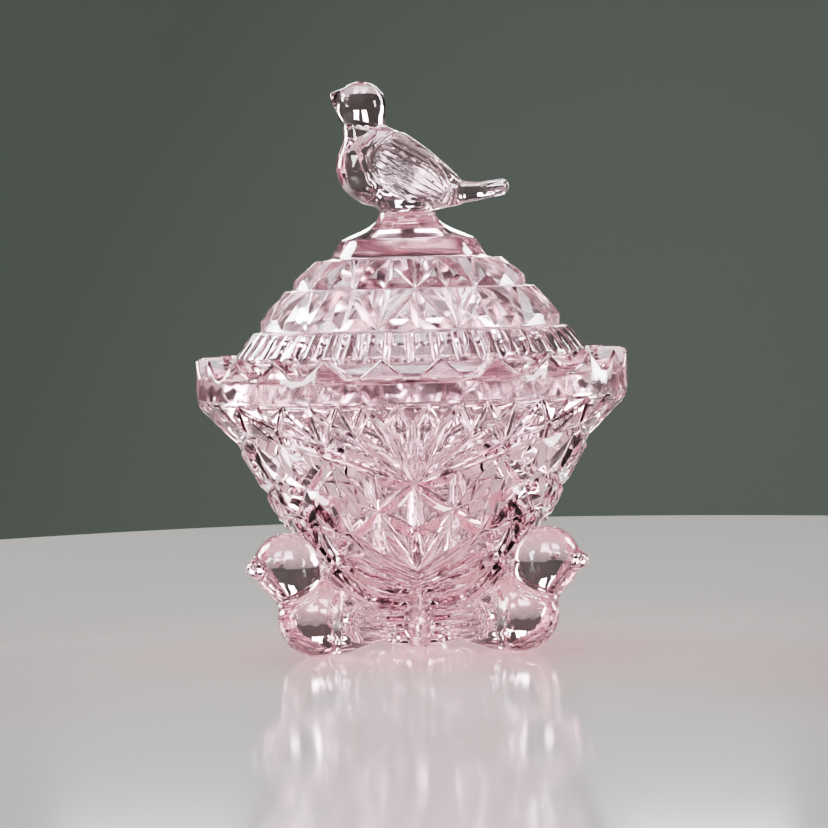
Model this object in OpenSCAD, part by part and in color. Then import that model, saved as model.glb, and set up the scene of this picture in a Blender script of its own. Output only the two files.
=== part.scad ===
// Covered candy dish in pale pink pressed glass. A flared bowl with a toothed rim
// stands on three birds, and a stepped, domed lid with a bird on top sits inside
// the rim. Each of the two pieces is pressed in one, so each is one solid.
// Millimetres, +Z up. The origin is on the table under the bowl's axis, and the
// front of the dish, where two of the three birds show, faces -Y.

/* [Bowl] */
// Diameter over the toothed rim
rim_d = 115; // [112:0.5:118]
// Height of the tooth tips above the table
rim_h = 79; // [78:0.5:82]
// Number of teeth round the rim
tooth_count = 24; // [18:1:28]
// Depth of the V cuts between the teeth
tooth_depth = 4.5; // [2.5:0.1:5]
// Height of the upright band below the tooth tips
band_h = 10.5; // [7:0.5:11]
// Thickness of the bowl's wall
wall = 5; // [4:0.25:6]

/* [Lid seat] */
// Radial thickness of the rim outside the lid
rim_wall = 6.7; // [5:0.1:8]
// Depth of the seat below the tooth tips
seat_depth = 6; // [5.5:0.25:7]
// Width of the ledge that the lid rests on
ledge_w = 4.8; // [4:0.1:6]
// Radial gap between the lid and the rim
lid_gap = 0.8; // [0.4:0.1:1.5]

/* [Lid] */
// Height of the dome from the seat to the disc under the bird
dome_h = 32; // [31:0.5:34]
// Thickness of the dome's wall
lid_wall = 4.5; // [3.5:0.25:5]
// Radius of the neck under the bird
neck_r = 7.8; // [6.5:0.1:9]

/* [Birds] */
// Number of birds that the bowl stands on
foot_count = 3; // [3:1:4]
// Radius of the head of a bird that carries the bowl
foot_head_r = 8.9; // [8:0.1:9.5]
// Radius of the head of the bird on the lid
top_head_r = 6.6; // [6:0.1:7.5]
// Width of a bird's body as a share of its height
bird_width = 0.8; // [0.7:0.05:1]

/* [Hidden] */
pink = [0.95, 0.82, 0.83];
pale_pink = [0.97, 0.87, 0.87];
eps = 0.01;
$fn = 96;

// Rim and seat
rim_r = rim_d / 2;
tooth_pitch = 360 / tooth_count;
tooth_w = PI * rim_d / tooth_count;
seat_z = rim_h - seat_depth;
recess_r = rim_r - rim_wall;
seat_r = recess_r - ledge_w;

// Bowl, as radius and height: the lattice band is a cone that runs into a round
// bottom, and a short stem hangs below it between the birds
cone_low = [30, 23];
cone_top = [44, 52];
shoulder = [rim_r - 2.5, 65.2];
cone_tilt = atan2(cone_top.x - cone_low.x, cone_top.y - cone_low.y);
bottom_r = 23;
bottom_c = cone_low + bottom_r * [-cos(cone_tilt), sin(cone_tilt)];
stem_r = 11;
stem_lift = 1.5;
// The hollow widens to the seat's radius a little above the shoulder
throat_rise = 2;
throat_out = 1.5;
throat_up = 3;

// Birds that carry the bowl: balls in the plane through beak and tail, each as
// distance from the bowl's axis, height and radius
foot_head = [39.4, 24.5, foot_head_r];
foot_body = [[31, 10.3, 10.6], [21, 8, 8.3], [8, 6.4, 2.7]];
foot_beak = [51, 24.5];
foot_beak_r = [5.5, 1];
foot_wing = [27, 12, 6.5];
foot_wing_length = 20;
foot_wing_offset = 6.2;
foot_wing_droop = 4;

// Lid, as radius and height above the seat
lid_r = recess_r - lid_gap;
tiers = [
    [lid_r, 0], [lid_r, 2.2], [45.7, 6.2], [43.7, 9.6], [40, 12.7], [40, 15.7],
    [36.8, 18], [35.9, 21.2], [31.4, 23.2], [31.4, 24.5], [27, 28.8], [23.5, 30.7]
];
disc_r = 20.1;
disc_top = [17.8, 4.7];
flare_rise = 9;
neck_rise = 3;
neck_z = seat_z + dome_h + flare_rise;
// The hollow under the lid, as radius and height above the seat
hollow = [
    [seat_r, 2], [tiers[3].x - lid_wall, 9], [tiers[6].x - lid_wall, 15.5],
    [tiers[8].x - lid_wall, 20.5], [19, 25], [10, 27.5], [0, 28]
];

// Bird on the lid, as distance towards the beak, height above the neck and radius
top_head = [11.5, 31, top_head_r];
top_neck = [9.3, 24.5, 5];
top_body = [[6.3, 14.8, 12.2], [-6, 9.8, 7.4]];
top_tail = [[-13, 7.9, 3.5], [-26.2, 9.3, 1.5]];
top_beak = [19.6, 34.3];
top_beak_r = [2.8, 0.8];
top_wing = [3, 16, 7.5];
top_wing_length = 26;
top_wing_offset = 7.6;
top_wing_droop = 18;
// The tail is wider than it is high
tail_width = 1.6;

// Points on an arc round c, from angle a0 to angle a1
function arc(c, r, a0, a1, n = 16) =
    [for (i = [0 : n]) let (a = a0 + (a1 - a0) * i / n) c + r * [cos(a), sin(a)]];

// One ball of a bird's body, narrower across than it is high
module ball(b, width = bird_width) {
    translate([b.x, 0, b.y])
        scale([1, width, 1])
            sphere(r = b.z, $fn = 28);
}

// A smooth body over a list of balls
module body(balls, width = bird_width) {
    hull()
        for (b = balls)
            ball(b, width);
}

// A beak from the centre of the head to its tip, with its radius at either end
module beak(head, tip, radii) {
    reach = tip - [head.x, head.y];
    translate([head.x, 0, head.y])
        rotate([0, 90 - atan2(reach.y, reach.x), 0])
            cylinder(r1 = radii[0], r2 = radii[1], h = norm(reach), $fn = 32);
}

// The two folded wings: drops that lie along the body with their points aft
module wings(w, length, offset, droop) {
    toe_in = 12;
    for (side = [-1, 1])
        translate([w.x, side * offset, w.y])
            rotate([0, 90 - droop, side * toe_in])
                rotate_extrude($fn = 48)
                    polygon(concat([[0, -length]], arc([0, 0], w.z / 2, -20, 90)));
}

// The V cuts that leave the teeth, one of them at the front
module tooth_cuts() {
    past = 2;
    above = 1;
    for (i = [0 : tooth_count - 1])
        rotate([0, 0, i * tooth_pitch - 90])
            translate([recess_r - past, 0, rim_h])
                rotate([90, 0, 90])
                    linear_extrude(rim_wall + 2 * past)
                        polygon([[-tooth_w / 2, 0], [0, -tooth_depth], [tooth_w / 2, 0],
                                 [tooth_w / 2, above], [-tooth_w / 2, above]]);
}

// One of the birds under the bowl, its beak outward along +X and its keel
// ground flat on the table
module foot_bird() {
    difference() {
        union() {
            body(foot_body);
            wings(foot_wing, foot_wing_length, foot_wing_offset, foot_wing_droop);
        }
        translate([-rim_r, -rim_r, -rim_r])
            cube([2 * rim_r, 2 * rim_r, rim_r]);
    }
    translate([foot_head.x, 0, foot_head.y])
        sphere(r = foot_head.z);
    beak(foot_head, foot_beak, foot_beak_r);
}

// The wall of the bowl, with its seat for the lid
module bowl() {
    inner_c = bottom_c;
    inner_r = bottom_r - wall;
    side = wall / cos(cone_tilt);
    rotate_extrude()
        polygon(concat(
            [[0, stem_lift], [stem_r, stem_lift], [stem_r, bottom_c.y - bottom_r + eps]],
            arc(bottom_c, bottom_r, -90, -cone_tilt),
            [cone_top, shoulder, [rim_r, rim_h - band_h], [rim_r, rim_h], [recess_r, rim_h],
             [recess_r, seat_z], [seat_r, seat_z], [seat_r, shoulder.y + throat_rise],
             cone_top + [throat_out - side, throat_up]],
            arc(inner_c, inner_r, -cone_tilt, -90),
            [[0, bottom_c.y - inner_r]]));
}

module dish() {
    color(pink) {
        difference() {
            bowl();
            tooth_cuts();
        }
        for (i = [0 : foot_count - 1])
            rotate([0, 0, 90 + i * 360 / foot_count])
                foot_bird();
    }
}

// The stepped dome with its disc and the flare up to the bird's neck
module dome() {
    steps = 8;
    rise = flare_rise - disc_top.y;
    sweep = disc_top.x - neck_r;
    difference() {
        translate([0, 0, seat_z])
            rotate_extrude()
                polygon(concat(
                    [[0, 0]],
                    tiers,
                    [[disc_r, dome_h], [disc_top.x, dome_h + disc_top.y]],
                    [for (i = [1 : steps]) let (t = i / steps)
                        [disc_top.x - sweep * sin(90 * t),
                         dome_h + disc_top.y + rise * (1 - cos(90 * t))]],
                    [[neck_r, dome_h + flare_rise + neck_rise],
                     [0, dome_h + flare_rise + neck_rise]]));
        dome_inside();
    }
}

// The hollow under the dome, one wall's thickness in from the tiers
module dome_inside() {
    past = 1;
    translate([0, 0, seat_z])
        rotate_extrude()
            polygon(concat([[0, -past], [seat_r, -past]], hollow));
}

// The bird on the lid, its beak towards -X
module top_bird() {
    translate([0, 0, neck_z])
        rotate([0, 0, 180]) {
            body(top_body);
            body([top_neck, top_head]);
            body(top_tail, tail_width);
            translate([top_head.x, 0, top_head.y])
                sphere(r = top_head.z);
            beak(top_head, top_beak, top_beak_r);
            wings(top_wing, top_wing_length, top_wing_offset, top_wing_droop);
        }
}

module lid() {
    color(pale_pink) {
        dome();
        top_bird();
    }
}

dish();
lid();
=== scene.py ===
"""Looks of the covered candy dish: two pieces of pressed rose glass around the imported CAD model.

Shapes are worked out in millimetres in the CAD frame (+Z up, front towards -Y) and scaled to
metres when a mesh is made. Angles round the axis are in degrees from the front, towards +X."""

import math

import bmesh
import bpy
import numpy as np
from mathutils import Matrix, Vector


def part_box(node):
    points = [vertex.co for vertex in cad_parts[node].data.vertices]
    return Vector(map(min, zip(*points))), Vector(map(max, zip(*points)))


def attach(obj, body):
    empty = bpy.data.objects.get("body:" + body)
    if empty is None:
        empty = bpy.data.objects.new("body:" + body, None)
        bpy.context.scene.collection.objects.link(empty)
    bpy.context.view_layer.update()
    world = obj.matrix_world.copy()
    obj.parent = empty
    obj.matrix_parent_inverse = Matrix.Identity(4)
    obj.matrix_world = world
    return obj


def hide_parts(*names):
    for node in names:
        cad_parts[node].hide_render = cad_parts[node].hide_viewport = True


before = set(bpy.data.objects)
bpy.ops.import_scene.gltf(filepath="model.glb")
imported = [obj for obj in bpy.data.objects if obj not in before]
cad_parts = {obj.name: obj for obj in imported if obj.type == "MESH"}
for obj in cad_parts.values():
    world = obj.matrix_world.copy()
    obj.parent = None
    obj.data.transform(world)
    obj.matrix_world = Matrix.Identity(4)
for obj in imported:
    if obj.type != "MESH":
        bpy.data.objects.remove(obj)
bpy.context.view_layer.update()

MM = 0.001
FULL = 360.0
# Ring angles closer than this are the same
SAME_ANGLE = 1e-6

# ---------------------------------------------------------------- sizes, from the frame
DISH_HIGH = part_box("dish")[1]
RIM_R = DISH_HIGH.x / MM
RIM_H = DISH_HIGH.z / MM
SEAT_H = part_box("lid")[0].z / MM
LID_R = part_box("lid")[1].x / MM

# ---------------------------------------------------------------- sizes, in millimetres
# Vertices round a ring, out at the rim and nearer the axis
ROUND = 144
ROUND_BODY = 96
ROUND_STEM = 72
ROUND_AXIS = 48

# Edges sharper than this many degrees are fire-polished, to these widths
POLISHED_EDGE = 20.0
POLISH = 0.16
BUD_POLISH = 0.2
# Edges sharper than this many degrees stay crisp in the shading
CRISP_EDGE = 16.0
CRISP_BIRD_EDGE = 60.0

# Rim. One tooth from valley to valley is given as angle and share of its height
TOOTH_COUNT = 24
TOOTH_DEPTH = 4.5
TOOTH = ((0.0, 0.0), (1.9, 0.0), (4.7, 0.5), (7.5, 1.0), (10.3, 0.5), (13.1, 0.0))
BAND_LOW = RIM_H - 10.9
RECESS_R = LID_R + 0.8
SEAT_R = RECESS_R - 4.8
# Widths of the rounded edges outside the teeth, inside them and in the corners of the seat
RIM_ROUNDING = 0.7
TIP_ROUNDING = 0.4
RECESS_ROUNDING = 0.5
SEAT_ROUNDING = 0.6

# Bowl, as radius and height: a cone that runs into a round bottom
CONE_LOW = (30.0, 23.0)
CONE_TOP = (44.0, 52.0)
SHOULDER = (RIM_R - 2.5, 65.2)
BOTTOM_R = 23.0
TILT = math.atan2(CONE_TOP[0] - CONE_LOW[0], CONE_TOP[1] - CONE_LOW[1])
BOTTOM_C = (CONE_LOW[0] - BOTTOM_R * math.cos(TILT), CONE_LOW[1] + BOTTOM_R * math.sin(TILT))
WALL = 5.0
INNER_BOTTOM_R = BOTTOM_R - WALL
FLOOR_H = BOTTOM_C[1] - INNER_BOTTOM_R
INNER_CONE_R = CONE_TOP[0] - WALL / math.cos(TILT)
BOTTOM_STEPS = 10
# The inside of the bowl between the seat and the cone
THROAT = ((SEAT_R, SHOULDER[1] + 2.5), (SEAT_R - 0.8, SHOULDER[1] + 0.8),
          (INNER_CONE_R + 1.7, CONE_TOP[1] + 3.2), (INNER_CONE_R, CONE_TOP[1]))
# The slightly hollow underside of the stem, as radius, height and vertices round the ring
AXIS_R = 4.0
UNDERSIDE = ((AXIS_R, 2.3, ROUND_AXIS), (9.4, 1.5, ROUND_STEM))
# The stem and the ring where it meets the bowl, as radius and height
BASE_RING = ((11.0, 2.2), (11.0, 5.4), (11.6, 6.4), (12.9, 7.0), (14.3, 8.3), (15.1, 9.8))
# Rings between the stem and the pattern, as shares of the height between the two
BELLY_SHARES = (0.12, 0.3, 0.5, 0.75)

# Star-cut panels: eight columns each, mirrored about their middles. Each row of stars gives its
# height at each column, from a panel's middle outwards
PANELS = 3
COLUMNS = 24
COLUMN = FULL / COLUMNS
PANEL_COLUMNS = COLUMNS // PANELS
HALF_COLUMNS = PANEL_COLUMNS // 2
HIGH_ROW = (46.9, 50.2, 53.6, 56.6, 59.8)
MIDDLE_ROW = (34.8, 39.6, 43.0, 45.3, 47.6)
LOW_ROW = (23.0, 28.7, 33.3, 35.8, 38.0)
CUT_DEPTH = 1.2

# The fan above each panel, as (angle, height) from the panel's middle: the points between the
# petals, the petals' tips, and the angles where the fan meets the ring below the rim band
PETAL_NOTCHES = ((0.0, 63.0), (7.5, 62.3), (17.5, 60.4), (29.0, 57.2))
PETAL_TIPS = ((23.0, 62.8), (42.0, 61.4))
TIP_DEPTH = 0.4
FAN_TOPS = (3.75, 12.25, 19.0, 27.0, 34.5, 43.0, 51.0, 60.0)
FAN_TOP_H = BAND_LOW - 0.3
# Edges of the leaf flutes under each panel and of the raised frame round them
LEAF_MID = ((0.0, 20.5), (15.0, 24.0), (28.0, 27.0), (35.0, 27.6), (40.5, 27.6))
LEAF_LOW = ((0.0, 18.0), (14.0, 18.6), (28.0, 21.4), (35.0, 24.6), (40.5, 27.6))
FRAME_HIGH = ((0.0, 12.2), (16.0, 12.3), (30.0, 13.4), (38.0, 17.8), (43.5, 23.5), (50.0, 29.5),
              (60.0, 36.2))
FRAME_LOW = ((0.0, 10.9), (17.0, 11.0), (34.0, 11.9), (43.0, 16.2), (48.5, 21.8), (54.5, 27.6),
             (60.0, 33.4))
# Profiles across a strip, as share of its width and depth below the plain surface. A strip
# narrower than FLUTE_FULL is moulded less deep
HOLLOW = ((0.2, -0.4), (0.36, 1.3), (0.5, 1.8), (0.64, 1.3), (0.8, -0.4))
RAISED = ((0.2, -0.9), (0.45, -1.0), (0.8, -0.4))
FLUTE_FULL = 4.5

# Reliefs between grooves: levels of (distance in from the edge, rise), how far the middle stands
# above the last level, and how dull the grooves are beside those of the chips
CHIP = {"levels": ((0.55, 0.65), (1.1, 0.9)), "peak": 0.3}
STAR = {"levels": ((1.9, 2.1), (2.15, 2.1)), "peak": -0.45, "matt": 0.2}
PETAL = {"levels": ((0.6, 0.95), (1.0, 0.95), (1.8, -0.2)), "peak": -0.5, "matt": 1.5}
LID_STAR = {"levels": ((1.9, 1.9), (2.2, 1.95)), "peak": 0.1, "matt": 4.0}
LID_RIB = {"levels": ((0.7, 1.0), (1.3, 1.3)), "peak": 0.3, "matt": 3.0}
# Share of a field's inner radius that its levels may take before they are scaled down
CELL_FILL = 0.78
# Dullness of a groove's sides as a share of its bottom's
SIDE_MATT = 0.7
# Dullness of the band below the teeth, the buds on the stem and the disc
RIM_MATT = 1.8
BUD_MATT = 4.0
DISC_MATT = 1.5

# A leaf bud leans out from the foot of the stem up to the bowl: height, radius, half width, rise
# of its flanks and of its midrib. Its root lies inside the bowl
BUD = ((1.6, 12.6, 2.6, 0.9, 2.6), (4.6, 15.2, 3.6, 1.2, 3.4), (8.0, 18.2, 4.3, 1.4, 3.9),
       (11.5, 21.2, 3.6, 1.2, 3.4), (15.2, 24.6, 2.2, 0.8, 2.4), (18.8, 27.1, 0.3, 0.2, 0.7))
BUD_ROOT = -7.0

# Lid, as radius and height: the rows of stars with their turn from the front, the panes, the disc
# with the neck that flares down to it, and the height where the neck closes inside the bird
LID_ROWS = ((23.0, 103.8), (31.2, 96.3), (39.9, 85.9))
LID_SKEW = 3.0
PANES = 2 * COLUMNS
PANES_LOW = (46.5, 77.6)
PANES_HIGH = (40.6, 85.2)
DISC = ((20.9, 104.4), (20.6, 105.0), (18.5, 108.6), (17.9, 109.3), (15.4, 110.5), (12.9, 111.5),
        (10.4, 112.7), (8.7, 113.9), (7.8, 115.2), (7.5, 116.4))
NECK_TOP = 117.0
# The hollow and the lower edge, as radius, height above the seat and vertices round the ring
LID_CEILING = 28.0
LID_INSIDE = (
    (AXIS_R, LID_CEILING, ROUND_AXIS), (10.0, 27.5, ROUND_STEM), (19.0, 25.0, ROUND_BODY),
    (26.9, 20.5, ROUND), (32.3, 15.5, ROUND), (39.2, 9.0, ROUND), (44.6, 2.8, ROUND),
    (SEAT_R, SEAT_ROUNDING, ROUND), (SEAT_R + SEAT_ROUNDING, 0.0, ROUND),
    (LID_R - RECESS_ROUNDING, 0.0, ROUND), (LID_R, RECESS_ROUNDING, ROUND), (LID_R, 2.2, ROUND),
)


# ---------------------------------------------------------------- mesh building
def inward_steps(edge, normal):
    """For each corner of an outline, the step that moves both its sides in by 1 mm."""
    straight = 0.05
    sharpest = 0.2
    steps = []
    for k, corner in enumerate(edge):
        ahead = edge[(k + 1) % len(edge)] - corner
        behind = edge[k - 1] - corner
        to_last = behind.normalized()
        to_next = ahead.normalized()
        sine = (to_last - to_next).length / 2
        half = to_last + to_next
        if half.length < straight:
            half = normal.cross(to_next - to_last)
        elif ahead.cross(behind).dot(normal) < 0:
            half = -half
        steps.append(half.normalized() / max(sine, sharpest))
    return steps


class Shell:
    """A surface, in millimetres. A ring is a list of (angle, vertex) in order of angle."""

    def __init__(self):
        self.points = []
        self.matt = []
        self.faces = []

    def point(self, place, matt=0.0):
        """Adds a vertex. matt is 0 where the glass is clear, and higher the duller it is."""
        self.points.append(Vector(place))
        self.matt.append(matt)
        return len(self.points) - 1

    def at(self, angle, radius, height, matt=0.0):
        """Adds a vertex by its angle round the axis."""
        turn = math.radians(angle)
        return self.point((radius * math.sin(turn), -radius * math.cos(turn), height), matt)

    def ring(self, radius, height, count=ROUND, matt=0.0):
        """Adds a level ring of evenly spaced vertices, the first at the front."""
        angles = [i * FULL / count for i in range(count)]
        return [(angle, self.at(angle, radius, height, matt)) for angle in angles]

    def zip_rings(self, low, high):
        """Joins two rings that follow each other along the outline."""
        low = low + [(low[0][0] + FULL, low[0][1])]
        high = high + [(high[0][0] + FULL, high[0][1])]
        i = j = 0
        while i < len(low) - 1 or j < len(high) - 1:
            next_low = low[i + 1][0] if i < len(low) - 1 else math.inf
            next_high = high[j + 1][0] if j < len(high) - 1 else math.inf
            if abs(next_low - next_high) < SAME_ANGLE:
                self.faces.append((low[i][1], low[i + 1][1], high[j + 1][1], high[j][1]))
                i += 1
                j += 1
            elif next_low < next_high:
                self.faces.append((low[i][1], low[i + 1][1], high[j][1]))
                i += 1
            else:
                self.faces.append((low[i][1], high[j + 1][1], high[j][1]))
                j += 1

    def chain(self, rings):
        """Joins each ring to the next."""
        for low, high in zip(rings, rings[1:]):
            self.zip_rings(low, high)

    def cap(self, ring, height, closing):
        """Closes the surface on the axis, at its start or its end."""
        centre = self.point((0, 0, height))
        for (_, a), (_, b) in zip(ring, ring[1:] + ring[:1]):
            self.faces.append((a, b, centre) if closing else (b, a, centre))

    def cell(self, corners, levels, peak=0.0, matt=1.0):
        """A field between cut grooves. Each level is (distance in from the edge, rise above it);
        peak is how far the middle stands above the last level, and matt how dull the grooves are.
        corners run counter-clockwise as seen from outside."""
        edge = [self.points[c] for c in corners]
        count = len(edge)
        normal = Vector((0, 0, 0))
        for a, b in zip(edge, edge[1:] + edge[:1]):
            normal += a.cross(b)
        area = normal.length / 2
        normal.normalize()
        perimeter = sum((b - a).length for a, b in zip(edge, edge[1:] + edge[:1]))
        shrink = min(1.0, CELL_FILL * 2 * area / perimeter / levels[-1][0])
        steps = inward_steps(edge, normal)
        outer = list(corners)
        for c in corners:
            self.matt[c] = matt
        for border, rise in levels:
            dull = 0.0 if border == levels[-1][0] else SIDE_MATT * matt
            inner = [self.point(place + step * (border * shrink) + normal * (rise * shrink), dull)
                     for place, step in zip(edge, steps)]
            for k in range(count):
                m = (k + 1) % count
                self.faces.append((outer[k], outer[m], inner[m], inner[k]))
            outer = inner
        middle = sum((self.points[v] for v in outer), Vector()) / count
        apex = self.point(middle + normal * peak)
        for k in range(count):
            self.faces.append((outer[k], outer[(k + 1) % count], apex))

    def build(self, name, polish=0.0):
        """Makes the object, with its sharp edges fire-polished to a width in millimetres."""
        mesh = bpy.data.meshes.new(name)
        mesh.from_pydata([tuple(p * MM) for p in self.points], [], self.faces)
        mesh.validate()
        layer = mesh.attributes.new("matt", "FLOAT", "POINT")
        layer.data.foreach_set("value", self.matt)
        obj = bpy.data.objects.new(name, mesh)
        bpy.context.scene.collection.objects.link(obj)
        if polish:
            bevel = obj.modifiers.new("fire_polish", "BEVEL")
            bevel.width = polish * MM
            bevel.segments = 2
            bevel.limit_method = "ANGLE"
            bevel.angle_limit = math.radians(POLISHED_EDGE)
            bevel.use_clamp_overlap = True
            apply_modifiers(obj)
        shade(obj, CRISP_EDGE)
        return obj


def shade(obj, crisp):
    """Smooth shading, with edges sharper than so many degrees kept crisp."""
    mesh = obj.data
    mesh.polygons.foreach_set("use_smooth", [True] * len(mesh.polygons))
    mesh.set_sharp_from_angle(angle=math.radians(crisp))


def apply_modifiers(obj):
    """Replaces the object's mesh with what its modifiers make of it."""
    graph = bpy.context.evaluated_depsgraph_get()
    mesh = bpy.data.meshes.new_from_object(obj.evaluated_get(graph), depsgraph=graph)
    old = obj.data
    obj.modifiers.clear()
    obj.data = mesh
    bpy.data.meshes.remove(old)


def unite(obj, others):
    """Melts overlapping closed meshes into the first, which becomes one closed mesh."""
    for other in others:
        union = obj.modifiers.new("unite", "BOOLEAN")
        union.operation = "UNION"
        union.solver = "MANIFOLD"
        union.object = other
        apply_modifiers(obj)
        bpy.data.objects.remove(other)
    return obj


# ---------------------------------------------------------------- the dish
def outer_radius(z):
    """Radius of the bowl's plain outer surface at a height."""
    if z < CONE_LOW[1]:
        return BOTTOM_C[0] + math.sqrt(max(0.0, BOTTOM_R ** 2 - (BOTTOM_C[1] - z) ** 2))
    outline = (CONE_LOW, CONE_TOP, SHOULDER, (RIM_R, BAND_LOW), (RIM_R, RIM_H))
    return float(np.interp(z, [p[1] for p in outline], [p[0] for p in outline]))


def teeth(shell, radius, drop=0.0, matt=0.0):
    """The ring of tooth tips and valleys at a radius, with a valley at the front."""
    ring = []
    for i in range(TOOTH_COUNT):
        for offset, share in TOOTH:
            angle = i * FULL / TOOTH_COUNT + offset
            height = RIM_H - TOOTH_DEPTH * (1 - share) - drop
            ring.append((angle, shell.at(angle, radius, height, matt)))
    return ring


def star_rows(shell):
    """The lattice's nodes: one ring of vertices per row, at the bottoms of the grooves."""
    rows = []
    for heights in (HIGH_ROW, MIDDLE_ROW, LOW_ROW):
        row = []
        for c in range(COLUMNS):
            z = heights[abs((c + HALF_COLUMNS) % PANEL_COLUMNS - HALF_COLUMNS)]
            row.append(shell.at(c * COLUMN, outer_radius(z) - CUT_DEPTH, z))
        rows.append(row)
    return rows


def star_band(shell, top, low, first, relief):
    """One band of triangles between two rows. The stars of the upper row are on even columns if
    first is 0 and on odd ones if it is 1."""
    for c in range(COLUMNS):
        d = (c + 1) % COLUMNS
        if c % 2 == first:
            triangles = ((low[c], low[d], top[c]), (low[d], top[d], top[c]))
        else:
            triangles = ((low[c], low[d], top[d]), (low[c], top[d], top[c]))
        for corners in triangles:
            shell.cell(corners, **relief)


class HalfPanel:
    """Vertices and fields on half a panel, which share those of the halves before it. Angles run
    from the panel's middle, to the right for side 1 and to the left for side -1."""

    def __init__(self, shell, known, panel, side):
        self.shell = shell
        self.known = known
        self.middle = panel * FULL / PANELS
        self.side = side
        self.columns = [(PANEL_COLUMNS * panel + side * j) % COLUMNS for j in range(HALF_COLUMNS + 1)]

    def turned(self, angle):
        """The angle from the front of an angle from the panel's middle."""
        return (self.middle + self.side * angle) % FULL

    def vertex(self, angle, z, depth):
        """The vertex at an angle from the front and a height, made once for each place."""
        key = (round(angle, 3), round(z, 3))
        if key not in self.known:
            self.known[key] = self.shell.at(angle, outer_radius(z) - depth, z)
        return self.known[key]

    def place(self, angle, z, depth=CUT_DEPTH):
        """The vertex at an angle from the panel's middle and a height."""
        return self.vertex(self.turned(angle), z, depth)

    def cell(self, corners, relief):
        """A field whose corners run counter-clockwise on side 1."""
        self.shell.cell(corners if self.side == 1 else corners[::-1], **relief)

    def strip(self, low, high, profile, ends=()):
        """A moulded strip between two edges given as (angle, height). ends holds vertices to use
        for the edges where they exist already, by (edge, index)."""
        ends = dict(ends)
        columns = []
        for i, ((low_a, low_z), (high_a, high_z)) in enumerate(zip(low, high)):
            start = ends[("low", i)] if ("low", i) in ends else self.place(low_a, low_z)
            stop = ends[("high", i)] if ("high", i) in ends else self.place(high_a, high_z)
            if start == stop:
                columns.append([start])
                continue
            width = (self.shell.points[start] - self.shell.points[stop]).length
            strength = min(1.0, width / FLUTE_FULL)
            column = [start]
            for share, depth in profile:
                column.append(self.place(low_a + (high_a - low_a) * share,
                                         low_z + (high_z - low_z) * share, depth * strength))
            columns.append(column + [stop])
            self.shell.matt[start] = self.shell.matt[stop] = 1.0
        for near, far in zip(columns, columns[1:]):
            self.join(near, far)

    def join(self, near, far):
        """Faces between two columns of a strip, either of which may be a single vertex."""
        for k in range(max(len(near), len(far)) - 1):
            face = [near[min(k, len(near) - 1)], far[min(k, len(far) - 1)],
                    far[min(k + 1, len(far) - 1)], near[min(k + 1, len(near) - 1)]]
            face = [v for n, v in enumerate(face) if v != face[n - 1]]
            self.shell.faces.append(tuple(face if self.side == 1 else face[::-1]))


def fan(half, row, top_ring):
    """The petals above half a panel, and the chips between them and the ring below the rim band."""

    def on_top(angle):
        turned = half.turned(angle)
        top_ring[round(turned, 3)] = half.vertex(turned, FAN_TOP_H, 0.0)
        return top_ring[round(turned, 3)]

    star = [row[c] for c in half.columns]
    notch = [half.place(angle, z) for angle, z in PETAL_NOTCHES]
    tip = [half.place(angle, z, TIP_DEPTH) for angle, z in PETAL_TIPS]
    top = [on_top(angle) for angle in FAN_TOPS]
    half.cell((star[0], notch[1], top[0], notch[0]), PETAL)
    half.cell((star[0], notch[2], top[1], notch[1]), PETAL)
    half.cell((star[0], notch[3], tip[0], notch[2]), PETAL)
    half.cell((star[0], star[1], star[2], star[3], tip[1], notch[3]), PETAL)
    if half.side == 1:
        half.cell((notch[0], top[0], on_top(-FAN_TOPS[0])), CHIP)
    chips = (
        (notch[1], top[1], top[0]), (notch[2], top[2], top[1]), (notch[2], tip[0], top[2]),
        (tip[0], top[3], top[2]), (tip[0], notch[3], top[3]), (notch[3], top[4], top[3]),
        (notch[3], tip[1], top[4]), (tip[1], top[5], top[4]), (tip[1], top[6], top[5]),
        (tip[1], star[3], top[6]), (star[3], star[4], top[6]), (star[4], top[7], top[6]),
    )
    for corners in chips:
        half.cell(corners, CHIP)


def leaves(half, row, low_ring):
    """The leaf-shaped flutes below half a panel, with the raised frame round them."""
    star = [row[c] for c in half.columns]
    for angle, z in FRAME_LOW:
        turned = round(half.turned(angle), 3)
        low_ring[turned] = (z, half.vertex(turned, z, 0.0))
    star_edge = [(COLUMN * k, LOW_ROW[k]) for k in range(3)]
    star_ends = {("high", k): star[k] for k in range(3)}
    star_ends[("low", 2)] = star[2]
    half.strip(LEAF_MID[:2] + (star_edge[2],), star_edge, HOLLOW, star_ends)
    half.strip(LEAF_LOW, LEAF_MID, HOLLOW)
    half.strip(FRAME_HIGH[:5], LEAF_LOW[:4] + (FRAME_HIGH[4],), HOLLOW)
    half.strip(FRAME_LOW, FRAME_HIGH, RAISED)
    leaf = [half.place(angle, z) for angle, z in LEAF_MID]
    under = [half.place(angle, z) for angle, z in LEAF_LOW]
    border = [half.place(angle, z) for angle, z in FRAME_HIGH]
    half.cell((leaf[1], leaf[2], leaf[3], leaf[4], star[3], star[2]), CHIP)
    half.cell((under[3], border[4], under[4]), CHIP)
    half.cell((border[4], border[5], star[3], under[4]), CHIP)
    half.cell((border[5], border[6], star[4], star[3]), CHIP)


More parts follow.
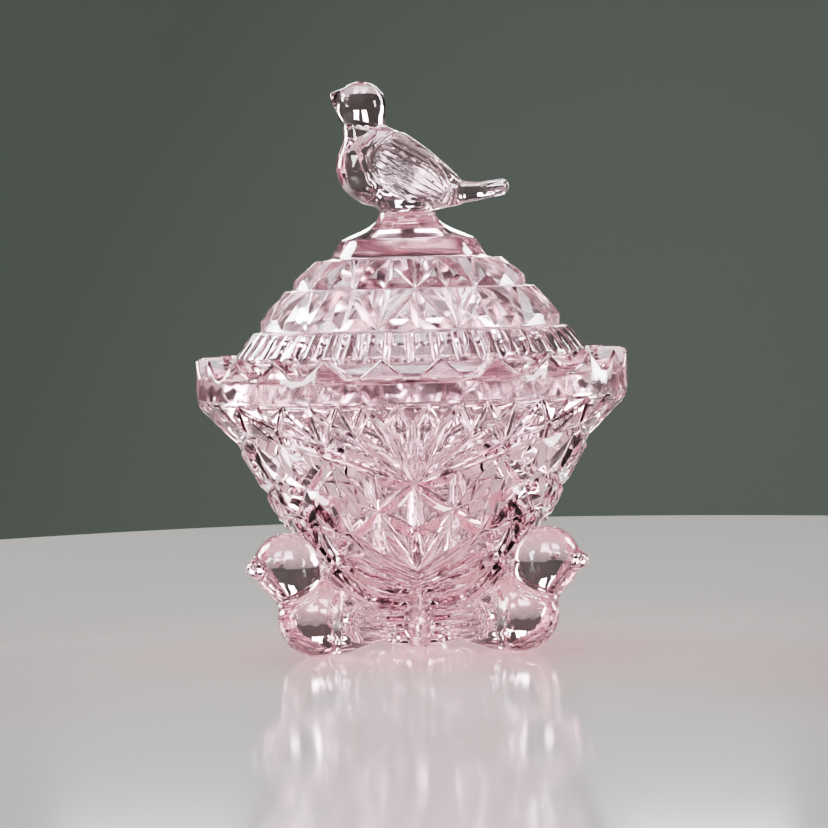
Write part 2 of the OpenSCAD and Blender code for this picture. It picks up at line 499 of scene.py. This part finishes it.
def rim_rings(shell, top_ring):
    """Rings from the top of the pattern, over the teeth and down to the seat for the lid."""
    return [
        top_ring,
        shell.ring(RIM_R, BAND_LOW + 0.2, matt=RIM_MATT),
        teeth(shell, RIM_R, RIM_ROUNDING, RIM_MATT),
        teeth(shell, RIM_R - RIM_ROUNDING, matt=RIM_MATT),
        teeth(shell, RECESS_R + TIP_ROUNDING),
        teeth(shell, RECESS_R, RECESS_ROUNDING),
        shell.ring(RECESS_R, SEAT_H + RECESS_ROUNDING),
        shell.ring(RECESS_R - RECESS_ROUNDING, SEAT_H),
        shell.ring(SEAT_R + SEAT_ROUNDING, SEAT_H),
        shell.ring(SEAT_R, SEAT_H - SEAT_ROUNDING),
    ]


def inside_rings(shell):
    """Rings from below the seat down the inside of the bowl to its floor."""
    rings = [shell.ring(radius, height) for radius, height in THROAT]
    for i in range(BOTTOM_STEPS + 1):
        angle = -TILT - (math.pi / 2 - TILT) * i / BOTTOM_STEPS
        radius = BOTTOM_C[0] + INNER_BOTTOM_R * math.cos(angle)
        height = BOTTOM_C[1] + INNER_BOTTOM_R * math.sin(angle)
        rings.append(shell.ring(radius, height, ROUND_BODY))
    rings.append(shell.ring(AXIS_R, FLOOR_H, ROUND_AXIS))
    return rings


def belly_rings(shell, base, low_ring):
    """Rings from the stem's top ring up to the lower edge of the pattern."""
    base_z = BASE_RING[-1][1]
    rings = [base]
    for share in BELLY_SHARES:
        ring = []
        for angle, (z, _) in low_ring:
            height = base_z + (z - base_z) * share
            ring.append((angle, shell.at(angle, outer_radius(height), height)))
        rings.append(ring)
    rings.append([(angle, vertex) for angle, (_, vertex) in low_ring])
    return rings


def make_bowl():
    """The bowl with its stem, pattern, rim and hollow."""
    shell = Shell()
    under = [shell.ring(radius, height, count) for radius, height, count in UNDERSIDE]
    under += [shell.ring(radius, height, ROUND_BODY) for radius, height in BASE_RING]
    shell.cap(under[0], UNDERSIDE[0][1], closing=False)
    shell.chain(under)

    high_row, middle_row, low_row = star_rows(shell)
    known = {}
    low_ring = {}
    top_ring = {}
    for panel in range(PANELS):
        for side in (1, -1):
            half = HalfPanel(shell, known, panel, side)
            fan(half, high_row, top_ring)
            leaves(half, low_row, low_ring)
    shell.chain(belly_rings(shell, under[-1], sorted(low_ring.items())))
    star_band(shell, high_row, middle_row, 0, STAR)
    star_band(shell, middle_row, low_row, 1, STAR)

    upper = rim_rings(shell, sorted(top_ring.items())) + inside_rings(shell)
    shell.chain(upper)
    shell.cap(upper[-1], FLOOR_H, closing=True)
    return shell.build("glass_dish", POLISH)


def stem_buds():
    """Pointed buds between the birds, cut as a chain of facets."""
    buds = []
    for i in range(PANELS):
        shell = Shell()
        rows = []
        for z, radius, half, flank, rib in BUD:
            across = ((-half, 0.0), (-0.5 * half, flank), (0.0, rib), (0.5 * half, flank),
                      (half, 0.0), (0.0, BUD_ROOT))
            row = []
            for x, rise in across:
                matt = 0.0 if abs(x) == half else BUD_MATT
                row.append(shell.point((x, -radius - rise, z), matt))
            rows.append(row)
        for low, high in zip(rows, rows[1:]):
            for k in range(len(low)):
                m = (k + 1) % len(low)
                shell.faces.append((low[k], low[m], high[m], high[k]))
        shell.faces.append(tuple(reversed(rows[0])))
        shell.faces.append(tuple(rows[-1]))
        bud = shell.build(f"stem_bud_{i}", BUD_POLISH)
        bud.data.transform(Matrix.Rotation(math.radians(i * FULL / PANELS), 4, "Z"))
        buds.append(bud)
    return buds


# ---------------------------------------------------------------- the lid
def lid_row(shell, radius, height):
    """The nodes of one row of the lid's stars, as a ring."""
    angles = [c * COLUMN + LID_SKEW for c in range(COLUMNS)]
    return [(angle, shell.at(angle, radius, height)) for angle in angles]


def vertices(ring):
    """The vertices of a ring without their angles."""
    return [vertex for _, vertex in ring]


def pane_band(shell, low, high):
    """One band of upright panes between two rings with the same count."""
    for k in range(len(low)):
        m = (k + 1) % len(low)
        shell.cell((low[k][1], low[m][1], high[m][1], high[k][1]), **LID_RIB)


def make_dome():
    """The stepped dome with its hollow, disc and neck."""
    shell = Shell()
    inside = [shell.ring(radius, SEAT_H + height, count) for radius, height, count in LID_INSIDE]
    shell.cap(inside[0], SEAT_H + LID_CEILING, closing=False)
    shell.chain(inside)
    high_row, middle_row, low_row = [lid_row(shell, *place) for place in LID_ROWS]
    panes_low = shell.ring(*PANES_LOW, PANES)
    panes_high = shell.ring(*PANES_HIGH, PANES)
    shell.zip_rings(inside[-1], panes_low)
    pane_band(shell, panes_low, panes_high)
    shell.zip_rings(panes_high, low_row)
    star_band(shell, vertices(middle_row), vertices(low_row), 0, LID_STAR)
    star_band(shell, vertices(high_row), vertices(middle_row), 1, LID_STAR)
    outline = [high_row] + [shell.ring(radius, height, ROUND_BODY, DISC_MATT) for radius, height in DISC]
    shell.chain(outline)
    shell.cap(outline[-1], NECK_TOP, closing=True)
    return shell.build("glass_lid", POLISH)


# ---------------------------------------------------------------- the birds
# Ellipsoids between two keys of a chain, and the voxels and thinning of the skin over them
BETWEEN = 7
VOXEL = 0.32
SMOOTHINGS = 8
KEPT_SHARE = 0.4


def unit_ball():
    """Vertices and faces of a ball of radius 1."""
    bm = bmesh.new()
    bmesh.ops.create_icosphere(bm, subdivisions=3, radius=1.0)
    ball = np.array([v.co for v in bm.verts])
    faces = [tuple(v.index for v in f.verts) for f in bm.faces]
    bm.free()
    return ball, faces


def bird_mesh(name, chains, relief):
    """A smooth bird, beak towards +X, from chains of ellipsoids (x, y, z, rx, ry, rz) that are
    melted into one skin. relief(x, y, z) says how far each point then moves along its normal."""
    ball, ball_faces = unit_ball()
    points = []
    faces = []
    for keys in chains:
        keys = np.array(keys, float)
        for a, b in zip(keys, keys[1:]):
            for step in range(BETWEEN + 1):
                key = a + (b - a) * step / BETWEEN
                start = len(points)
                points.extend(ball * key[3:] + key[:3])
                faces.extend(tuple(i + start for i in face) for face in ball_faces)
    mesh = bpy.data.meshes.new(name)
    mesh.from_pydata([tuple(p) for p in np.array(points) * MM], [], faces)
    obj = bpy.data.objects.new(name, mesh)
    bpy.context.scene.collection.objects.link(obj)
    skin = obj.modifiers.new("skin", "REMESH")
    skin.mode = "VOXEL"
    skin.voxel_size = VOXEL * MM
    soften = obj.modifiers.new("soften", "SMOOTH")
    soften.factor = 0.5
    soften.iterations = SMOOTHINGS
    apply_modifiers(obj)
    mesh = obj.data
    places = np.array([v.co for v in mesh.vertices]) / MM
    normals = np.array([v.normal for v in mesh.vertices])
    shift = relief(places[:, 0], places[:, 1], places[:, 2])
    mesh.vertices.foreach_set("co", ((places + normals * shift[:, None]) * MM).ravel())
    mesh.update()
    thin = obj.modifiers.new("thin", "DECIMATE")
    thin.ratio = KEPT_SHARE
    apply_modifiers(obj)
    shade(obj, CRISP_BIRD_EDGE)
    return obj


def both_sides(chain):
    """A chain and its mirror image on the other side of the bird."""
    return [chain, [(x, -y, z, rx, ry, rz) for x, y, z, rx, ry, rz in chain]]


def smooth_step(low, high, x):
    """0 below low, 1 above high, and a smooth rise between them."""
    s = np.clip((x - low) / (high - low), 0, 1)
    return s * s * (3 - 2 * s)


def grooves(phase, depth, narrow=3):
    """Narrow rounded grooves, one per unit of phase."""
    return -depth * (0.5 + 0.5 * np.cos(2 * math.pi * phase)) ** narrow


def crease(distance, depth, width):
    """A rounded crease where distance is 0."""
    return -depth * np.exp(-(distance / width) ** 2)


def wing_relief(x, y, z, tip, front, width, feathers, rise, depth, flank, low_round, high_round):
    """A folded wing raised on each flank, from its tip to its rounded front edge, with feathers
    that run together at the tip. low_round and high_round bend the front edge back."""
    length = math.dist(tip, front)
    along = np.array([front[0] - tip[0], front[1] - tip[1]]) / length
    # Distance from the tip along the wing, and from its middle line as a share of its half width
    reach = (x - tip[0]) * along[0] + (z - tip[1]) * along[1]
    aside = (z - tip[1]) * along[0] - (x - tip[0]) * along[1]
    half = width * np.clip(reach / (0.4 * length), 0.02, 1) ** 0.6
    across = aside / half
    edge = length - np.where(aside < 0, low_round, high_round) * aside ** 2
    inside = smooth_step(-1.08, -0.92, across) * (1 - smooth_step(1.2, 1.45, across))
    inside *= 1 - smooth_step(edge - 0.5, edge + 0.5, reach)
    inside *= smooth_step(0.3, 2.5, reach) * smooth_step(flank - 0.7, flank + 0.7, np.abs(y))
    # The feathers' lines stop at a hem behind the front edge
    hem = edge - 1.7
    lines = grooves((across + 1) / 2 * feathers, depth)
    lines *= 1 - smooth_step(hem - 0.6, hem, reach)
    lines += crease(reach - hem, depth, 0.4)
    return inside * (rise + lines)


TOP_WING = {"tip": (-11.8, 119.6), "front": (9.6, 132.0), "width": 5.6, "feathers": 6, "rise": 0.85,
            "depth": 0.55, "flank": 2.4, "low_round": 0.25, "high_round": 0.04}
FOOT_WING = {"tip": (6.0, 6.6), "front": (25.8, 9.6), "width": 5.2, "feathers": 5, "rise": 0.9,
             "depth": 0.8, "flank": 2.2, "low_round": 0.13, "high_round": 0.13}


def top_relief(x, y, z):
    """Wings, tail feathers and the crease under the head of the bird on the lid."""
    tail = (1 - smooth_step(-15.5, -14, x)) * grooves(y / 2.4 + 0.5, 0.35)
    neck = crease(z - 139.4 - 0.1 * (x - 10.8), 0.5, 0.55)
    return wing_relief(x, y, z, **TOP_WING) + tail + neck


def foot_relief(x, y, z):
    """Wings and the two creases at the neck of a bird under the bowl."""
    slant = (z - 17.6) + 0.55 * (x - 37.0)
    neck = crease(slant, 0.6, 0.5) + crease(slant + 2.2, 0.5, 0.5)
    return wing_relief(x, y, z, **FOOT_WING) + neck * smooth_step(24.0, 28.0, x)


# Breast and head, foot of the body, beak, tail, and the eyes
TOP_BIRD = [
    [(-13, 0, 121.2, 3.8, 3.4, 3.4), (-6.5, 0, 123.3, 7.5, 6.5, 6.6), (0, 0, 125.9, 9.5, 8.0, 9.5),
     (6.8, 0, 128.8, 11.8, 8.8, 10.9), (9.4, 0, 134.5, 7.2, 6.5, 6.0), (10.8, 0, 139.2, 5.5, 5.3, 3.6),
     (11.5, 0, 144.8, 6.8, 6.5, 6.7)],
    [(6.8, 0, 128.8, 10.5, 8.4, 9.5), (2.5, 0, 122.0, 8.6, 7.6, 5.6), (0.3, 0, 118.3, 7.6, 7.4, 3.6)],
    [(15.0, 0, 146.4, 4.2, 3.6, 3.5), (18.9, 0, 147.8, 0.9, 0.9, 1.1)],
    [(-11, 0, 121.2, 3.6, 3.8, 3.3), (-19, 0, 121.5, 3.0, 3.6, 2.5), (-25.3, 0, 122.5, 2.3, 4.7, 2.2)],
] + both_sides([(15.2, 4.9, 146.6, 0.9, 0.9, 0.9), (15.3, 4.9, 146.6, 0.9, 0.9, 0.9)])

# Body, neck and head, beak, and the eyes
FOOT_BIRD = [
    [(8, 0, 6.8, 3.6, 5.0, 3.0), (16, 0, 7.9, 6.5, 6.2, 6.2), (24, 0, 9.1, 9.5, 8.0, 9.0),
     (31, 0, 10.3, 10.7, 9.0, 10.5)],
    [(31, 0, 12, 9.5, 8.4, 9.0), (36.5, 0, 18, 6.6, 6.6, 6.0), (39.4, 0, 24.5, 8.8, 8.6, 8.8)],
    [(45.6, 0, 24.4, 4.2, 4.4, 3.6), (48.3, 0, 24.5, 2.6, 3.6, 2.4)],
] + both_sides([(44.4, 6.4, 26.6, 1.2, 1.2, 1.2), (44.5, 6.4, 26.6, 1.2, 1.2, 1.2)])


def foot_birds():
    """One bird per panel gap, the first at the back, each with its keel ground flat."""
    first = bird_mesh("foot_bird", FOOT_BIRD, foot_relief)
    for v in first.data.vertices:
        v.co.z = max(v.co.z, 0.0)
    first.data.transform(Matrix.Rotation(math.radians(90), 4, "Z"))
    birds = [first]
    for i in range(1, PANELS):
        bird = first.copy()
        bird.data = first.data.copy()
        bird.data.transform(Matrix.Rotation(math.radians(i * FULL / PANELS), 4, "Z"))
        bpy.context.scene.collection.objects.link(bird)
        birds.append(bird)
    return birds


# ---------------------------------------------------------------- materials
REFRACTION = 1.57
# Tint at each surface, from the deepest streaks to the palest, as place on the ramp and colour
STREAK_TINTS = ((0.3, (0.9, 0.71, 0.77, 1)), (0.7, (0.95, 0.81, 0.855, 1)))
# Tint of the light that passes through thick glass, and how fast it builds up
DEPTH_TINT = (0.91, 0.74, 0.79, 1)
DEPTH_DENSITY = 42.0
SHADOW_TINT = (0.93, 0.82, 0.83, 1)
# Scale and detail of the noise that gives the streaks, the wear and the ripple from the mould
STREAKS = (45.0, 3.0)
WEAR = (160.0, 5.0)
RIPPLE = (220.0, 2.0)
# Noise at which wear starts and is full, and the roughness it then has
WEAR_RANGE = (0.45, 0.8)
WEAR_ROUGH = 0.06
# Roughness of a cut with matt 1
CUT_ROUGH = 0.05
RIPPLE_STRENGTH = 0.07
RIPPLE_DEPTH = 0.0004


def add_node(tree, kind, **values):
    """Adds a shader node with some of its properties set."""
    node = tree.nodes.new(kind)
    for key, value in values.items():
        setattr(node, key, value)
    return node


def noise(tree, coords, scale, detail):
    """The output of a noise texture in the object's own coordinates."""
    texture = add_node(tree, "ShaderNodeTexNoise")
    texture.inputs["Scale"].default_value = scale
    texture.inputs["Detail"].default_value = detail
    tree.links.new(coords.outputs["Object"], texture.inputs["Vector"])
    return texture.outputs["Fac"]


def rose_glass():
    """Pale rose pressed glass: clear, with faint streaks, mould ripple, a little wear and cuts
    that are slightly dull."""
    mat = bpy.data.materials.new("rose_glass")
    mat.use_nodes = True
    tree = mat.node_tree
    tree.nodes.clear()
    link = tree.links.new
    glass = add_node(tree, "ShaderNodeBsdfPrincipled")
    glass.inputs["Transmission Weight"].default_value = 1.0
    glass.inputs["IOR"].default_value = REFRACTION
    coords = add_node(tree, "ShaderNodeTexCoord")

    tint = add_node(tree, "ShaderNodeValToRGB")
    for stop, (position, colour) in zip(tint.color_ramp.elements, STREAK_TINTS):
        stop.position = position
        stop.color = colour
    link(noise(tree, coords, *STREAKS), tint.inputs["Fac"])
    link(tint.outputs["Color"], glass.inputs["Base Color"])

    wear = add_node(tree, "ShaderNodeMapRange")
    wear.inputs["From Min"].default_value = WEAR_RANGE[0]
    wear.inputs["From Max"].default_value = WEAR_RANGE[1]
    wear.inputs["To Min"].default_value = 0.0
    wear.inputs["To Max"].default_value = WEAR_ROUGH
    link(noise(tree, coords, *WEAR), wear.inputs["Value"])
    matt = add_node(tree, "ShaderNodeAttribute", attribute_name="matt")
    rough = add_node(tree, "ShaderNodeMath", operation="MULTIPLY_ADD")
    rough.inputs[1].default_value = CUT_ROUGH
    link(matt.outputs["Fac"], rough.inputs[0])
    link(wear.outputs["Result"], rough.inputs[2])
    link(rough.outputs["Value"], glass.inputs["Roughness"])

    ripple = add_node(tree, "ShaderNodeBump")
    ripple.inputs["Strength"].default_value = RIPPLE_STRENGTH
    ripple.inputs["Distance"].default_value = RIPPLE_DEPTH
    link(noise(tree, coords, *RIPPLE), ripple.inputs["Height"])
    link(ripple.outputs["Normal"], glass.inputs["Normal"])

    # Lights reach through the glass, so its shadow is pale and tinted
    ray = add_node(tree, "ShaderNodeLightPath")
    clear = add_node(tree, "ShaderNodeBsdfTransparent")
    clear.inputs["Color"].default_value = SHADOW_TINT
    mix = add_node(tree, "ShaderNodeMixShader")
    link(ray.outputs["Is Shadow Ray"], mix.inputs["Fac"])
    link(glass.outputs["BSDF"], mix.inputs[1])
    link(clear.outputs["BSDF"], mix.inputs[2])

    depth = add_node(tree, "ShaderNodeVolumeAbsorption")
    depth.inputs["Color"].default_value = DEPTH_TINT
    depth.inputs["Density"].default_value = DEPTH_DENSITY
    out = add_node(tree, "ShaderNodeOutputMaterial")
    link(mix.outputs["Shader"], out.inputs["Surface"])
    link(depth.outputs["Volume"], out.inputs["Volume"])
    return mat


def plain(name, colour, roughness):
    """A plain material for the stage."""
    mat = bpy.data.materials.new(name)
    mat.use_nodes = True
    bsdf = mat.node_tree.nodes["Principled BSDF"]
    bsdf.inputs["Base Color"].default_value = (*colour, 1)
    bsdf.inputs["Roughness"].default_value = roughness
    return mat


# ---------------------------------------------------------------- stage
# The table top and the wall round it, in millimetres
TABLE_R = 395.0
WALL_R = 1800.0
WALL_LOW = -600.0
WALL_HIGH = 1600.0
TABLE_COLOUR = (0.34, 0.325, 0.316)
TABLE_ROUGH = 0.1
WALL_COLOUR = (0.165, 0.185, 0.165)
WALL_ROUGH = 0.9
# Gap between the dish and the table, in metres
TABLE_GAP = 0.00005

# Soft lights, in metres: place, size, power in watts and colour. Most stand behind and beside the
# dish, so that the cut glass shows light and dark
LIGHT_AIM = (0, 0, 0.08)
WHITE = (1.0, 1.0, 1.0)
LIGHTS = {
    "key": ((-0.9, 0.6, 0.5), (0.4, 0.8), 26, WHITE),
    "fill": ((0.95, 0.45, 0.4), (0.26, 0.8), 15, WHITE),
    "window_left": ((-0.17, 1.3, 0.5), (0.2, 0.3), 2, (0.95, 0.97, 1.0)),
    "window_right": ((0.17, 1.3, 0.5), (0.2, 0.3), 2, (0.95, 0.97, 1.0)),
    "side_left": ((-0.9, -0.5, 0.35), (0.2, 0.5), 6, WHITE),
    "side_right": ((0.9, -0.4, 0.3), (0.2, 0.4), 5, WHITE),
    "top": ((0.0, 0.0, 1.3), (0.9, 0.7), 13, (0.94, 0.96, 1.0)),
}
ROOM_LIGHT = 0.3

# Camera, in metres and degrees
EYE = (0.0003, -0.75, 0.0989)
AIM = (0.0003, 0.0, 0.0625)
SENSOR_W = 36.0
LENS = 121.9
ROLL = -1.65


def make_stage():
    """A pale round table top, with a plain grey wall all round it and a floor far below."""
    disc = Shell()
    disc.cap(disc.ring(TABLE_R, 0.0), 0.0, closing=True)
    table = disc.build("studio_floor")
    table.location.z = -TABLE_GAP
    table.data.materials.append(plain("studio_floor", TABLE_COLOUR, TABLE_ROUGH))
    room = Shell()
    low = room.ring(WALL_R, WALL_LOW)
    high = room.ring(WALL_R, WALL_HIGH)
    room.zip_rings(high, low)
    room.cap(low, WALL_LOW, closing=True)
    backdrop = room.build("studio_wall")
    backdrop.data.materials.append(plain("studio_wall", WALL_COLOUR, WALL_ROUGH))


def make_lights():
    """Soft boxes aimed at the dish, and an even light from the room."""
    for name, (place, size, power, colour) in LIGHTS.items():
        data = bpy.data.lights.new(name, "AREA")
        data.shape = "RECTANGLE"
        data.size, data.size_y = size
        data.energy = power
        data.color = colour
        light = bpy.data.objects.new(name, data)
        light.location = place
        beam = Vector(LIGHT_AIM) - Vector(place)
        light.rotation_euler = beam.to_track_quat("-Z", "Y").to_euler()
        bpy.context.scene.collection.objects.link(light)
    world = bpy.data.worlds.new("studio")
    world.use_nodes = True
    background = world.node_tree.nodes["Background"]
    background.inputs["Color"].default_value = (*WHITE, 1)
    background.inputs["Strength"].default_value = ROOM_LIGHT
    bpy.context.scene.world = world


def make_camera():
    """The photograph's view: level with the lid, from 0.75 m in front."""
    data = bpy.data.cameras.new("camera")
    data.sensor_width = SENSOR_W
    data.lens = LENS
    camera = bpy.data.objects.new("camera", data)
    look = (Vector(AIM) - Vector(EYE)).to_track_quat("-Z", "Y").to_matrix().to_4x4()
    roll = Matrix.Rotation(math.radians(ROLL), 4, "Z")
    camera.matrix_world = Matrix.Translation(EYE) @ look @ roll
    bpy.context.scene.collection.objects.link(camera)
    bpy.context.scene.camera = camera


# ---------------------------------------------------------------- put together
bpy.context.scene.view_settings.look = "AgX - High Contrast"
make_camera()
make_stage()
make_lights()
glass_mat = rose_glass()

dish = unite(make_bowl(), foot_birds() + stem_buds())
dish.data.materials.clear()
dish.data.materials.append(glass_mat)
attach(dish, "dish")
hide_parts("dish")

top_bird = bird_mesh("top_bird", TOP_BIRD, top_relief)
top_bird.data.transform(Matrix.Rotation(math.pi, 4, "Z"))
lid = unite(make_dome(), [top_bird])
lid.data.materials.clear()
lid.data.materials.append(glass_mat)
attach(lid, "lid")
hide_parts("lid")
